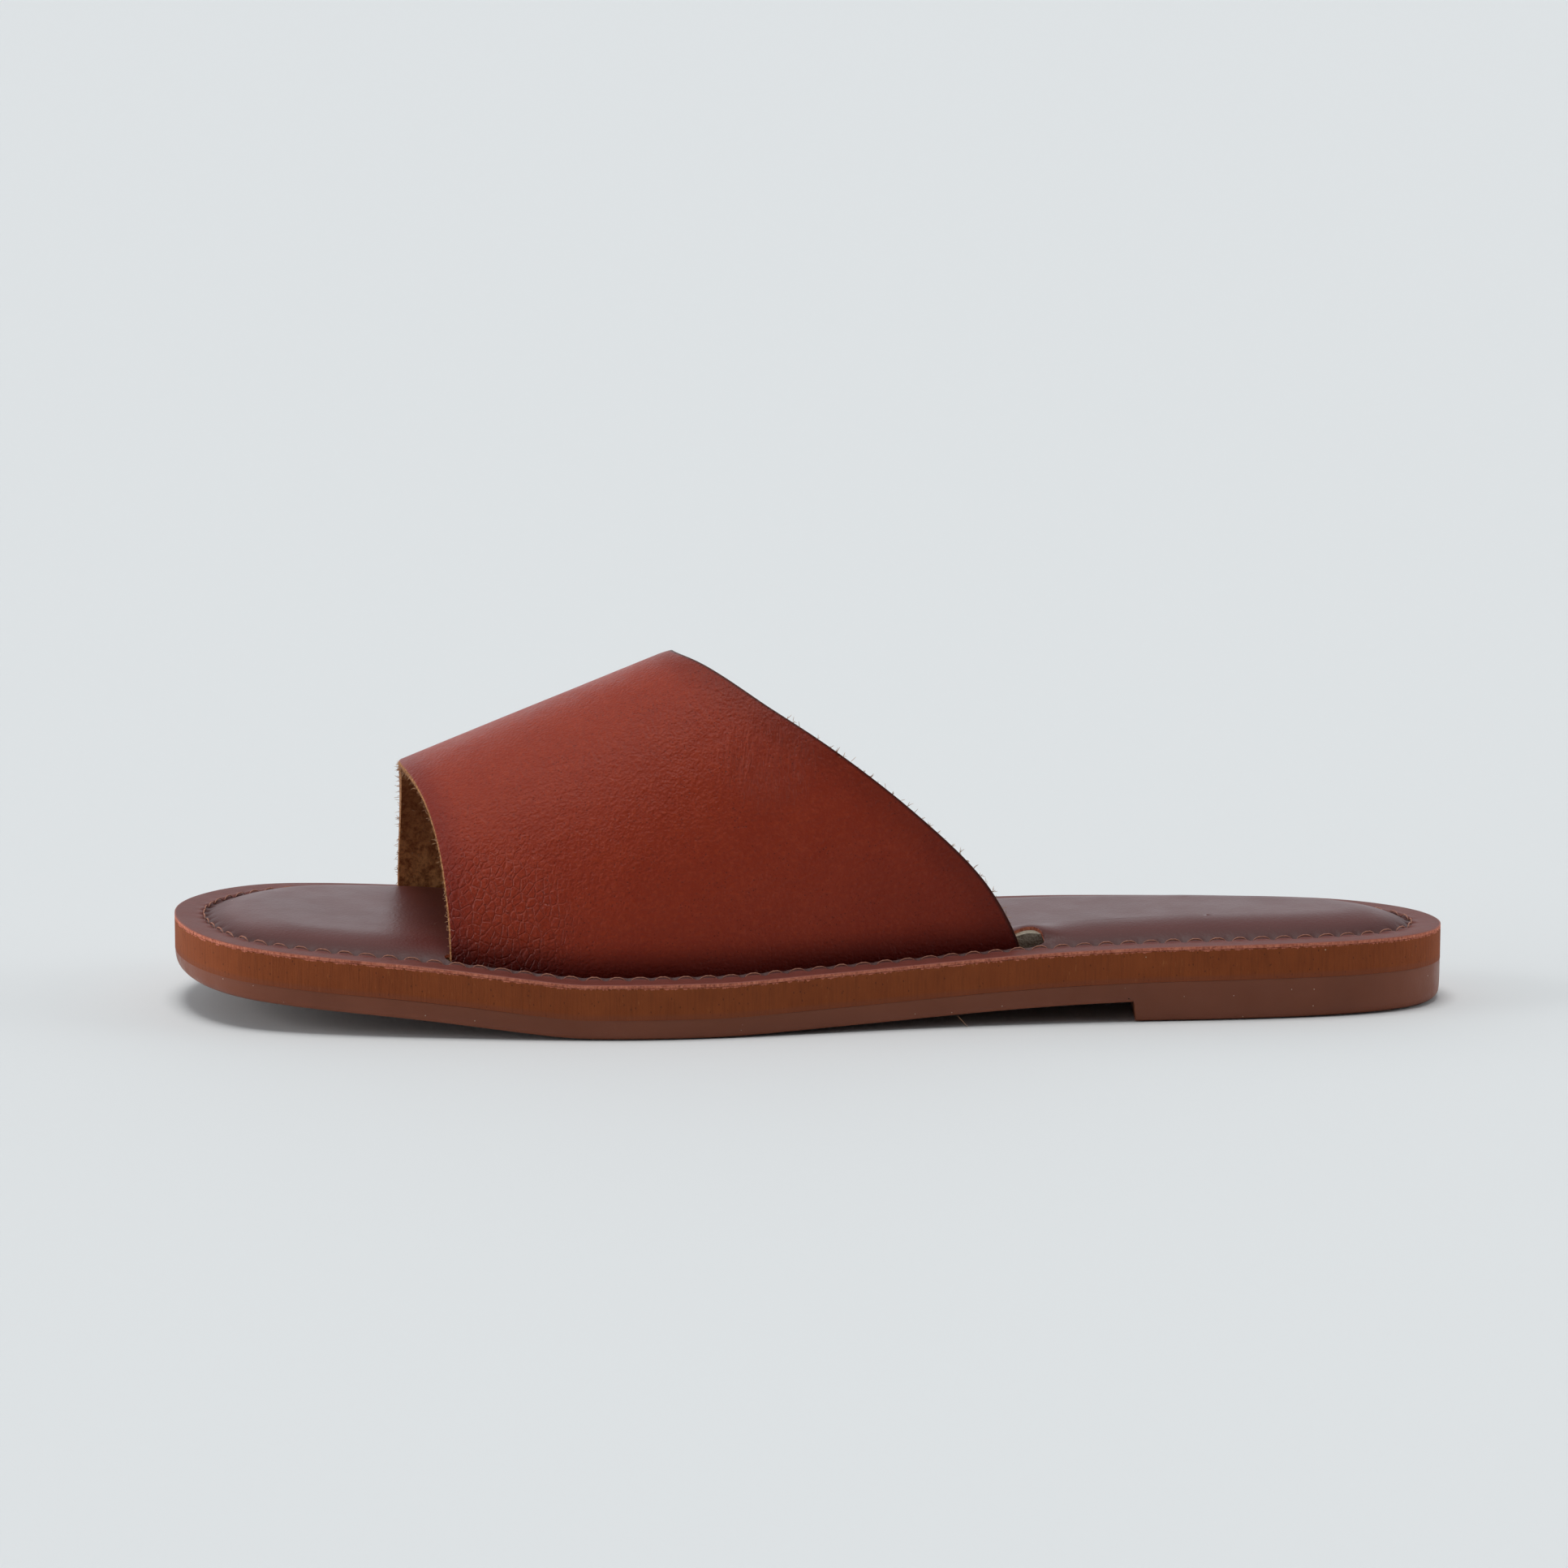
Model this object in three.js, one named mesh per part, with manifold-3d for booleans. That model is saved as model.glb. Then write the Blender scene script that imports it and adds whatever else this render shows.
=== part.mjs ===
// Flat leather slide sandal, left shoe, standing on its sole. Millimetres, +Z up.
// X runs from the toe (-X) to the heel (+X), -Y is the outer side of the foot, +Y the inner side.
// The origin lies on the floor under the middle of the sole.
import * as THREE from 'three';
import { mergeVertices } from 'three/addons/utils/BufferGeometryUtils.js';
import Module from 'manifold-3d';

const wasm = await Module();
wasm.setup();

// Sizes of the sole
const soleLength = 256;
const ballWidth = 90;
const outsoleThickness = 4;
const midsoleThickness = 5.8;
const insoleThickness = 0.7;
const layerGap = 0.3;
const toeSpring = 6.8;
const heelLift = 4.2;
const heelSeatLength = 63.5;
const breastSlope = 0.4;
const bottomEdgeRadius = 1.4;

// Sizes of the footbed
const rimWidth = 6.9;
const padSlopeWidth = 8;
const padHeight = 3;

// Sizes of the strap and of the slots that hold it
const strapThickness = 2;
const throatHeight = 70.6;
const toeOpeningHeight = 47.4;
const slotInset = 8.6;
const slotClearance = 0.35;
const slotDepth = 3;
const slotFrontRun = 1.2;
const slotRearRun = 4.5;

// Fineness of the meshes
const soleStations = 52;
const strapRows = 36;
const strapColumns = 20;
const slotSteps = 24;

// Outline of the sole, seen from above: "at" is a share of the length from the toe's tip,
// "outer" and "inner" are shares of the ball's width, measured from the shoe's long axis.
const outlineTable = [
  { at: 0.000, outer: -0.005, inner: 0.005 },
  { at: 0.012, outer: 0.183, inner: 0.176 },
  { at: 0.031, outer: 0.290, inner: 0.281 },
  { at: 0.059, outer: 0.372, inner: 0.370 },
  { at: 0.104, outer: 0.425, inner: 0.435 },
  { at: 0.168, outer: 0.461, inner: 0.473 },
  { at: 0.227, outer: 0.480, inner: 0.492 },
  { at: 0.290, outer: 0.495, inner: 0.500 },
  { at: 0.350, outer: 0.500, inner: 0.496 },
  { at: 0.400, outer: 0.489, inner: 0.486 },
  { at: 0.445, outer: 0.466, inner: 0.473 },
  { at: 0.500, outer: 0.425, inner: 0.454 },
  { at: 0.563, outer: 0.380, inner: 0.432 },
  { at: 0.625, outer: 0.340, inner: 0.411 },
  { at: 0.695, outer: 0.307, inner: 0.387 },
  { at: 0.754, outer: 0.285, inner: 0.364 },
  { at: 0.824, outer: 0.264, inner: 0.347 },
  { at: 0.887, outer: 0.235, inner: 0.327 },
  { at: 0.930, outer: 0.202, inner: 0.293 },
  { at: 0.960, outer: 0.163, inner: 0.241 },
  { at: 0.982, outer: 0.112, inner: 0.178 },
  { at: 1.000, outer: -0.025, inner: 0.025 },
];

// Height of the outsole's underside over the floor: "toe" is a share of the toe spring,
// "shank" a share of the heel lift.
const liftTable = [
  { at: 0.000, toe: 1.00, shank: 0.00 },
  { at: 0.110, toe: 0.70, shank: 0.00 },
  { at: 0.200, toe: 0.48, shank: 0.00 },
  { at: 0.255, toe: 0.28, shank: 0.00 },
  { at: 0.300, toe: 0.09, shank: 0.00 },
  { at: 0.330, toe: 0.00, shank: 0.00 },
  { at: 0.430, toe: 0.00, shank: 0.00 },
  { at: 0.500, toe: 0.00, shank: 0.17 },
  { at: 0.563, toe: 0.00, shank: 0.36 },
  { at: 0.625, toe: 0.00, shank: 0.58 },
  { at: 0.688, toe: 0.00, shank: 0.79 },
  { at: 0.750, toe: 0.00, shank: 0.91 },
  { at: 0.850, toe: 0.00, shank: 0.98 },
  { at: 1.000, toe: 0.00, shank: 1.00 },
];

// Along the sole: "swell" is a share of the pad's height, "round" a share of the radius of the
// outsole's bottom edge, which is worn rounder at the toe and at the heel's end.
const footbedTable = [
  { at: 0.00, swell: 0.72, round: 2.0 },
  { at: 0.10, swell: 0.85, round: 1.5 },
  { at: 0.30, swell: 1.00, round: 0.8 },
  { at: 0.62, swell: 0.80, round: 0.8 },
  { at: 0.80, swell: 1.00, round: 0.8 },
  { at: 0.93, swell: 0.95, round: 1.2 },
  { at: 1.00, swell: 0.85, round: 1.6 },
];

// The strap's cut edges: "around" goes from the outer slot (0) over the instep to the inner slot (1),
// "front" and "rear" are shares of the sole's length from the toe's tip.
const strapTable = [
  { around: 0.000, front: 0.2246, rear: 0.6650 },
  { around: 0.030, front: 0.2241, rear: 0.6510 },
  { around: 0.060, front: 0.2234, rear: 0.6328 },
  { around: 0.100, front: 0.2213, rear: 0.5990 },
  { around: 0.143, front: 0.2186, rear: 0.5637 },
  { around: 0.182, front: 0.2154, rear: 0.5324 },
  { around: 0.225, front: 0.2109, rear: 0.5016 },
  { around: 0.272, front: 0.2052, rear: 0.4707 },
  { around: 0.330, front: 0.1970, rear: 0.4420 },
  { around: 0.394, front: 0.1880, rear: 0.4175 },
  { around: 0.460, front: 0.1800, rear: 0.3990 },
  { around: 0.520, front: 0.1763, rear: 0.3930 },
  { around: 0.580, front: 0.1745, rear: 0.3960 },
  { around: 0.640, front: 0.1733, rear: 0.4080 },
  { around: 0.728, front: 0.1718, rear: 0.4360 },
  { around: 0.818, front: 0.1700, rear: 0.4760 },
  { around: 0.894, front: 0.1682, rear: 0.5180 },
  { around: 0.950, front: 0.1672, rear: 0.5500 },
  { around: 1.000, front: 0.1668, rear: 0.5760 },
];
const crownSkew = 0.05;

// Reads one column of a table as a smooth curve that keeps its flat stretches flat.
function curveOf(table, key, column) {
  const at = table.map((row) => row[key]);
  const value = table.map((row) => row[column]);
  const spans = at.slice(1).map((end, i) => end - at[i]);
  const slopes = spans.map((span, i) => (value[i + 1] - value[i]) / span);
  const tangents = at.map((_, i) => {
    const j = Math.max(i - 1, 0);
    const k = Math.min(i, slopes.length - 1);
    if (slopes[j] * slopes[k] <= 0) return 0;
    const mean = (slopes[j] * spans[k] + slopes[k] * spans[j]) / (spans[j] + spans[k]);
    const steepest = 3 * Math.min(Math.abs(slopes[j]), Math.abs(slopes[k]));
    return THREE.MathUtils.clamp(mean, -steepest, steepest);
  });
  return (position) => {
    const p = THREE.MathUtils.clamp(position, at[0], at[at.length - 1]);
    const i = Math.max(at.findIndex((end) => p <= end), 1) - 1;
    const t = (p - at[i]) / spans[i];
    const bend = tangents[i] * (1 - t) - tangents[i + 1] * t;
    return THREE.MathUtils.lerp(value[i], value[i + 1], t * t * (3 - 2 * t)) + spans[i] * t * (1 - t) * bend;
  };
}

const shareAt = (x) => x / soleLength + 0.5;
const placeOf = (share) => (share - 0.5) * soleLength;

// Heights of the layers' faces over the floor
const toeLift = curveOf(liftTable, 'at', 'toe');
const shankLift = curveOf(liftTable, 'at', 'shank');
const breastX = soleLength / 2 - heelSeatLength;
const plateBottom = (x) => toeSpring * toeLift(shareAt(x)) + heelLift * shankLift(shareAt(x));
const treadBottom = (x) => (x > breastX + breastSlope / 2 ? 0 : plateBottom(x));
const outsoleTop = (x) => plateBottom(x) + outsoleThickness;
const midsoleBottom = (x) => outsoleTop(x) + layerGap;
const midsoleTop = (x) => midsoleBottom(x) + midsoleThickness;
const insoleBottom = (x) => midsoleTop(x) + layerGap;
const rimTop = (x) => insoleBottom(x) + insoleThickness;

// The outline is followed by an angle that turns from 0 at the toe's tip to half a turn at the heel's end.
const turnOf = (share) => Math.acos(1 - 2 * THREE.MathUtils.clamp(share, 0, 1));
const outlineTurns = outlineTable.map((row) => ({ ...row, turn: turnOf(row.at) }));
const outlineWidth = {
  outer: curveOf(outlineTurns, 'turn', 'outer'),
  inner: curveOf(outlineTurns, 'turn', 'inner'),
};
const sideSign = { outer: -1, inner: 1 };

// A point of the outline, moved inwards by an inset.
function edgePoint(side, turn, inset) {
  const sign = sideSign[side];
  const step = 1e-4;
  const before = outlineWidth[side](Math.max(turn - step, 0));
  const after = outlineWidth[side](Math.min(turn + step, Math.PI));
  const reach = Math.min(turn + step, Math.PI) - Math.max(turn - step, 0);
  const widening = sign * ballWidth * (after - before) / reach;
  const along = new THREE.Vector2(soleLength / 2 * Math.sin(turn), widening).normalize();
  const x = placeOf((1 - Math.cos(turn)) / 2) + sign * along.y * inset;
  const y = sign * ballWidth * outlineWidth[side](turn) - sign * along.x * inset;
  return { x, y };
}

// The sideways place of a line that runs inside the outline at an even inset: an inset point lies
// a little further along than its outline point, so the start is moved until it lands on x.
function insetLine(side, x, inset) {
  const corrections = 4;
  let probe = x;
  let point = edgePoint(side, turnOf(shareAt(probe)), inset);
  for (let count = 0; count < corrections; count += 1) {
    probe += x - point.x;
    point = edgePoint(side, turnOf(shareAt(probe)), inset);
  }
  return point.y;
}

// Makes a geometry from points and triangles, with its faces pointing outwards.
function closedGeometry(points, triangles) {
  const volume = triangles.reduce((sum, [a, b, c]) => {
    const cross = new THREE.Vector3().crossVectors(points[b], points[c]);
    return sum + points[a].dot(cross);
  }, 0);
  const order = volume > 0 ? triangles : triangles.map(([a, b, c]) => [a, c, b]);
  const geometry = new THREE.BufferGeometry();
  geometry.setAttribute('position', new THREE.Float32BufferAttribute(points.flatMap((p) => p.toArray()), 3));
  geometry.setIndex(order.flat());
  return geometry;
}

// A layer of the sole: rings follow the outline from the middle of the underside, over the edge,
// to the middle of the top. Each ring gives its inset and its height as functions of x.
function layerGeometry(rings, turns) {
  const last = turns.length - 1;
  const ringSize = 2 * last;
  const points = [];
  rings.forEach(({ inset, height }) => {
    const placeRing = (side, turn) => {
      const x = placeOf((1 - Math.cos(turn)) / 2);
      const point = edgePoint(side, turn, inset(x));
      points.push(new THREE.Vector3(point.x, point.y, height(point.x, inset(x))));
    };
    turns.forEach((turn) => placeRing('outer', turn));
    turns.slice(1, last).reverse().forEach((turn) => placeRing('inner', turn));
  });
  const triangles = [];
  for (let ring = 0; ring < rings.length - 1; ring += 1) {
    for (let k = 0; k < ringSize; k += 1) {
      const a = ring * ringSize + k;
      const b = ring * ringSize + ((k + 1) % ringSize);
      triangles.push([a, b, b + ringSize], [a, b + ringSize, a + ringSize]);
    }
  }
  const cap = (base, flip) => {
    for (let i = 0; i < last; i += 1) {
      const [a, b] = [base + i, base + i + 1];
      const [c, d] = [base + ((ringSize - i) % ringSize), base + ringSize - i - 1];
      if (i > 0) triangles.push(flip ? [a, c, b] : [a, b, c]);
      if (i < last - 1) triangles.push(flip ? [c, d, b] : [c, b, d]);
    }
  };
  cap(0, true);
  cap((rings.length - 1) * ringSize, false);
  return closedGeometry(points, triangles);
}

const evenTurns = Array.from({ length: soleStations + 1 }, (_, i) => Math.PI * i / soleStations);

// Outsole: one moulding with a low heel whose front face, the breast, drops steeply to the floor.
function outsoleGeometry() {
  const breastTurns = [turnOf(shareAt(breastX)), turnOf(shareAt(breastX + breastSlope))];
  const clear = Math.PI / soleStations / 3;
  const turns = evenTurns.filter((turn) => breastTurns.every((breast) => Math.abs(turn - breast) > clear));
  turns.push(...breastTurns);
  turns.sort((a, b) => a - b);
  const roundShare = curveOf(footbedTable, 'at', 'round');
  const radius = (x) => bottomEdgeRadius * roundShare(shareAt(x));
  const roundingSteps = [0, 1 / 3, 2 / 3, 1];
  const rounding = roundingSteps.map((step) => ({
    inset: (x) => radius(x) * (1 - Math.sin(step * Math.PI / 2)),
    height: (x) => treadBottom(x) + radius(x) * (1 - Math.cos(step * Math.PI / 2)),
  }));
  return layerGeometry([...rounding, { inset: () => 0, height: outsoleTop }], turns);
}

// The strap's middle surface: an arch over the foot from the outer slot to the inner slot.
const strapFront = curveOf(strapTable, 'around', 'front');
const strapRear = curveOf(strapTable, 'around', 'rear');
const crownFrontX = placeOf(strapFront(0.5));
const crownRearX = placeOf(strapRear(0.5));
const crownRise = (throatHeight - toeOpeningHeight) / (crownRearX - crownFrontX);
const crownHeight = (x) => toeOpeningHeight + crownRise * (x - crownFrontX);

function archPoint(x, around) {
  const angle = Math.PI * around;
  const outerY = insetLine('outer', x, slotInset);
  const innerY = insetLine('inner', x, slotInset);
  const across = (1 - Math.cos(angle)) / 2 + crownSkew * Math.sin(angle) ** 2;
  const rise = crownHeight(x) - strapThickness / 2 - rimTop(x);
  const y = THREE.MathUtils.lerp(outerY, innerY, across);
  return new THREE.Vector3(x, y, rimTop(x) + rise * Math.sin(angle));
}

// Strap: a hollow arch of leather of one thickness, whose two ends go down into the slots.
function strapGeometry() {
  const rows = Array.from({ length: strapRows + 3 }, (_, i) => (i - 1) / strapRows);
  const middle = rows.map((around) => Array.from({ length: strapColumns + 1 }, (_, j) => {
    const held = THREE.MathUtils.clamp(around, 0, 1);
    const x = placeOf(THREE.MathUtils.lerp(strapFront(held), strapRear(held), j / strapColumns));
    const point = archPoint(x, held);
    if (around !== held) point.z = midsoleTop(x) - slotDepth + layerGap;
    return point;
  }));
  const outwards = (i, j) => {
    const rowStep = middle[Math.min(i + 1, rows.length - 1)][j].clone().sub(middle[Math.max(i - 1, 0)][j]);
    const line = middle[i];
    const columnStep = line[Math.min(j + 1, strapColumns)].clone().sub(line[Math.max(j - 1, 0)]);
    return columnStep.cross(rowStep).normalize();
  };
  const skin = (offset) => middle.flatMap((line, i) => line.map((point, j) => (
    point.clone().addScaledVector(outwards(i, j), offset))));
  const points = [...skin(strapThickness / 2), ...skin(-strapThickness / 2)];
  const width = strapColumns + 1;
  const inside = rows.length * width;
  const triangles = [];
  const quad = (a, b, c, d) => triangles.push([a, b, c], [a, c, d]);
  for (let i = 0; i < rows.length - 1; i += 1) {
    for (let j = 0; j < strapColumns; j += 1) {
      const a = i * width + j;
      quad(a, a + 1, a + width + 1, a + width);
      quad(inside + a, inside + a + width, inside + a + width + 1, inside + a + 1);
    }
  }
  for (let i = 0; i < rows.length - 1; i += 1) {
    const front = i * width;
    const rear = front + strapColumns;
    quad(front, front + width, inside + front + width, inside + front);
    quad(rear, inside + rear, inside + rear + width, rear + width);
  }
  for (let j = 0; j < strapColumns; j += 1) {
    const end = (rows.length - 1) * width + j;
    quad(j, inside + j, inside + j + 1, j + 1);
    quad(end, end + 1, inside + end + 1, inside + end);
  }
  return closedGeometry(points, triangles);
}

// The room that one slot takes out of the footbed's cover and the midsole: it follows the strap's end
// with clearance all round, and runs on a little behind the strap.
function slotGeometry(side) {
  const held = side === 'outer' ? 0 : 1;
  const startX = placeOf(strapFront(held)) - slotFrontRun;
  const endX = placeOf(strapRear(held)) + slotRearRun;
  const halfWidth = strapThickness / 2 + slotClearance;
  const headroom = 2 * padHeight;
  const points = [];
  for (let k = 0; k <= slotSteps; k += 1) {
    const x = THREE.MathUtils.lerp(startX, endX, k / slotSteps);
    const floorZ = midsoleTop(x) - slotDepth;
    const openZ = rimTop(x) + headroom;
    const [near, far] = [-1, 1].map((way) => insetLine(side, x, slotInset + way * halfWidth));
    points.push(new THREE.Vector3(x, near, floorZ), new THREE.Vector3(x, far, floorZ));
    points.push(new THREE.Vector3(x, far, openZ), new THREE.Vector3(x, near, openZ));
  }
  const triangles = [[0, 1, 2], [0, 2, 3]];
  for (let k = 0; k < slotSteps; k += 1) {
    for (let c = 0; c < 4; c += 1) {
      const [a, b] = [4 * k + c, 4 * k + ((c + 1) % 4)];
      triangles.push([a, a + 4, b + 4], [a, b + 4, b]);
    }
  }
  const end = 4 * slotSteps;
  triangles.push([end, end + 2, end + 1], [end, end + 3, end + 2]);
  return closedGeometry(points, triangles);
}

function solidOf(geometry) {
  const merged = mergeVertices(geometry);
  const vertProperties = new Float32Array(merged.attributes.position.array);
  const triVerts = new Uint32Array(merged.index.array);
  return new wasm.Manifold(new wasm.Mesh({ numProp: 3, vertProperties, triVerts }));
}

// Takes both slots out of a layer.
function withSlots(geometry) {
  const slots = ['outer', 'inner'].map((side) => solidOf(slotGeometry(side)));
  const cut = slots.reduce((solid, slot) => solid.subtract(slot), solidOf(geometry));
  const { numProp, vertProperties, triVerts } = cut.getMesh();
  const result = new THREE.BufferGeometry();
  result.setAttribute('position', new THREE.BufferAttribute(new Float32Array(vertProperties), numProp));
  result.setIndex([...triVerts]);
  return result;
}

const midsoleGeometry = () => withSlots(layerGeometry([
  { inset: () => 0, height: midsoleBottom },
  { inset: () => 0, height: midsoleTop },
], evenTurns));

// The footbed rises inside its flat stitched rim in a soft slope to a padded middle.
const swellShare = curveOf(footbedTable, 'at', 'swell');
const swell = (x, inset) => (
  padHeight * swellShare(shareAt(x)) * THREE.MathUtils.smoothstep(inset, rimWidth, rimWidth + padSlopeWidth));
const padRimInset = slotInset + strapThickness / 2 + slotClearance + layerGap;
const padInsets = [0, 0.3, 0.65, 1].map((share) => (
  THREE.MathUtils.lerp(padRimInset, rimWidth + padSlopeWidth, share)));
const slopeStartInset = (rimWidth + padRimInset) / 2;
const ringsAt = (insets, height) => insets.map((inset) => ({ inset: () => inset, height }));

// Footbed cover: thin leather over the whole sole, laid over the pad.
const insoleGeometry = () => {
  const insets = [0, rimWidth, slopeStartInset, ...padInsets];
  return withSlots(layerGeometry([
    ...ringsAt([...insets].reverse(), (x, inset) => insoleBottom(x) + swell(x, inset)),
    ...ringsAt(insets, (x, inset) => rimTop(x) + swell(x, inset)),
  ], evenTurns));
};

// Foam pad between the midsole and the cover, inside the slots.
const footbedPadGeometry = () => layerGeometry([
  ...ringsAt([...padInsets].reverse(), insoleBottom),
  ...ringsAt(padInsets, (x, inset) => insoleBottom(x) + swell(x, inset) - layerGap),
], evenTurns);

const finishes = {
  rubber: new THREE.MeshStandardMaterial({ color: 0x6f4536, roughness: 0.38, metalness: 0 }),
  board: new THREE.MeshStandardMaterial({ color: 0x6b381f, roughness: 0.75, metalness: 0 }),
  foam: new THREE.MeshStandardMaterial({ color: 0xa39a8c, roughness: 0.95, metalness: 0 }),
  cover: new THREE.MeshStandardMaterial({ color: 0x5a3030, roughness: 0.5, metalness: 0 }),
  strap: new THREE.MeshStandardMaterial({ color: 0x7d2c1d, roughness: 0.42, metalness: 0 }),
};

function piece(name, geometry, material) {
  const plain = mergeVertices(geometry);
  plain.computeVertexNormals();
  const mesh = new THREE.Mesh(plain, material);
  mesh.name = name;
  return mesh;
}

const sandal = new THREE.Group();
sandal.name = 'slide_sandal';
sandal.add(
  piece('outsole', outsoleGeometry(), finishes.rubber),
  piece('midsole', midsoleGeometry(), finishes.board),
  piece('footbed_pad', footbedPadGeometry(), finishes.foam),
  piece('insole', insoleGeometry(), finishes.cover),
  piece('upper', strapGeometry(), finishes.strap),
);

export default sandal;
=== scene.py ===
# Looks of a flat leather slide sandal for the left foot, standing empty on a pale floor.
# Metres; the toe points to -X, the shoe's outer side faces -Y, and the floor is at Z = 0.
import math
import random

import bpy
import numpy as np
from mathutils import Euler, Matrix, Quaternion, Vector
from mathutils.kdtree import KDTree


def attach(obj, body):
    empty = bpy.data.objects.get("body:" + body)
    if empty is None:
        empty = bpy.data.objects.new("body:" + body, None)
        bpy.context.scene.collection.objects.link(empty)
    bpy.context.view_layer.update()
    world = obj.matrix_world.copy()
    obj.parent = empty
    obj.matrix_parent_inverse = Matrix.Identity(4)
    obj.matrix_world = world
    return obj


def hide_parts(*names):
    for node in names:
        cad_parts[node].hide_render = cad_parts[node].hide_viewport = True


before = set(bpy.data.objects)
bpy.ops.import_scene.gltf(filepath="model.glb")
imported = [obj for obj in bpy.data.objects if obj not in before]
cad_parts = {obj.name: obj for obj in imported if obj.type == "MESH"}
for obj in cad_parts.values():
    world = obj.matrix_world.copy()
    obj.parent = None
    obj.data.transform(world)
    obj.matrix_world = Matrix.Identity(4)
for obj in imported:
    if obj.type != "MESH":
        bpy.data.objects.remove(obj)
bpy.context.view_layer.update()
mm = 0.001


# Camera: it looks at the shoe's outer side from a little above, as the photographer's did.
# Its line of sight is set by where the floor under the middle of the sole lies in the picture.
image_size = 1932
pixels_per_metre = 6080
sole_middle_across = 996.6
sole_middle_down = 1227
view_distance = 1.2
view_pitch = math.radians(9.4)
view_roll = math.radians(-0.12)
film_width = 36
sideways = (image_size / 2 - sole_middle_across) / pixels_per_metre
upwards = (sole_middle_down - image_size / 2) / pixels_per_metre
sight = Vector((0, math.cos(view_pitch), -math.sin(view_pitch)))
picture_up = Vector((0, math.sin(view_pitch), math.cos(view_pitch)))
camera_place = Vector((sideways, 0, 0)) + picture_up * upwards - sight * view_distance
level_turn = Euler((math.pi / 2 - view_pitch, 0, 0)).to_quaternion()
camera_turn = (Quaternion(sight, view_roll) @ level_turn).to_euler()
bpy.ops.object.camera_add(location=camera_place, rotation=camera_turn)
camera = bpy.context.object
camera.data.sensor_width = film_width
camera.data.lens = pixels_per_metre * view_distance / image_size * film_width
bpy.context.scene.camera = camera


# Studio: a wide sheet of pale paper as floor, with bright air behind and left of the shoe and dim
# air in front of it, and three wide soft lamps: one overhead, and a low one at toe and heel.
def paint(red, green, blue):
    """A colour as it looks on a screen, each part from 0 to 255, as the light values a shader takes."""
    parts = [part / 255 for part in (red, green, blue)]
    light = [part / 12.92 if part <= 0.04045 else ((part + 0.055) / 1.055) ** 2.4 for part in parts]
    return (*light, 1)


def add_node(tree, kind, inputs=None, **settings):
    """Adds a shader node; an input is given as a value or as another node's output."""
    made = tree.nodes.new("ShaderNode" + kind)
    for key, value in settings.items():
        setattr(made, key, value)
    for key, value in (inputs or {}).items():
        if isinstance(value, bpy.types.NodeSocket):
            tree.links.new(value, made.inputs[key])
        else:
            made.inputs[key].default_value = value
    return made


def new_finish(name, **surface):
    """A material with its shader's plain values set; returns it with its node tree and shader."""
    finish = bpy.data.materials.new(name)
    finish.use_nodes = True
    shader = finish.node_tree.nodes["Principled BSDF"]
    for key, value in surface.items():
        shader.inputs[key.replace("_", " ")].default_value = value
    return finish, finish.node_tree, shader


def ramp(tree, value, low, high, start=0.0, end=1.0):
    """Takes a value from one range to another, softly, and holds it beyond both ends."""
    inputs = {"Value": value, "From Min": low, "From Max": high, "To Min": start, "To Max": end}
    return add_node(tree, "MapRange", inputs, interpolation_type="SMOOTHSTEP").outputs["Result"]


def combine(tree, operation, first, second):
    """One sum, product or comparison of two values."""
    return add_node(tree, "Math", {0: first, 1: second}, operation=operation).outputs["Value"]


floor_size = 30
bpy.ops.mesh.primitive_plane_add(size=floor_size)
floor = bpy.context.object
floor.name = "paper_floor"
paper, tree, shader = new_finish("floor_paper", Base_Color=paint(226, 228, 228), Roughness=0.8)
shader.inputs["Specular IOR Level"].default_value = 0.1
floor.data.materials.append(paper)

air = bpy.data.worlds.new("studio_air")
air.use_nodes = True
tree = air.node_tree
direction = add_node(tree, "TexCoord").outputs["Generated"]
bright_side = (-0.3, 0.9, 0)
facing = add_node(tree, "VectorMath", {0: direction, 1: bright_side}, operation="DOT_PRODUCT").outputs["Value"]
round_glow = ramp(tree, facing, -0.8, 0.1, 0.03, 1.28)
upward = add_node(tree, "SeparateXYZ", {"Vector": direction}).outputs["Z"]
dim_overhead = ramp(tree, upward, 0.1, 0.75, 1, 0.3)
dim_at_floor = ramp(tree, upward, 0, 0.15, 0.25, 1)
dimmed = combine(tree, "MULTIPLY", dim_overhead, dim_at_floor)
glow = combine(tree, "MULTIPLY", round_glow, dimmed)
background = tree.nodes["Background"]
background.inputs["Color"].default_value = paint(240, 247, 253)
tree.links.new(glow, background.inputs["Strength"])
bpy.context.scene.world = air

for name, height, heading, spread, energy in (
        ("lamp_overhead", 87, 175, 26, 1.5),
        ("lamp_at_toe", 12, 184, 40, 1.25),
        ("lamp_at_heel", 14, 2, 40, 0.65)):
    turn = (math.radians(90 - height), 0, math.radians(heading + 90))
    bpy.ops.object.light_add(type="SUN", rotation=turn)
    lamp = bpy.context.object
    lamp.name = name
    lamp.data.angle = math.radians(spread)
    lamp.data.energy = energy
bpy.context.scene.view_settings.view_transform = "Standard"


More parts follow.
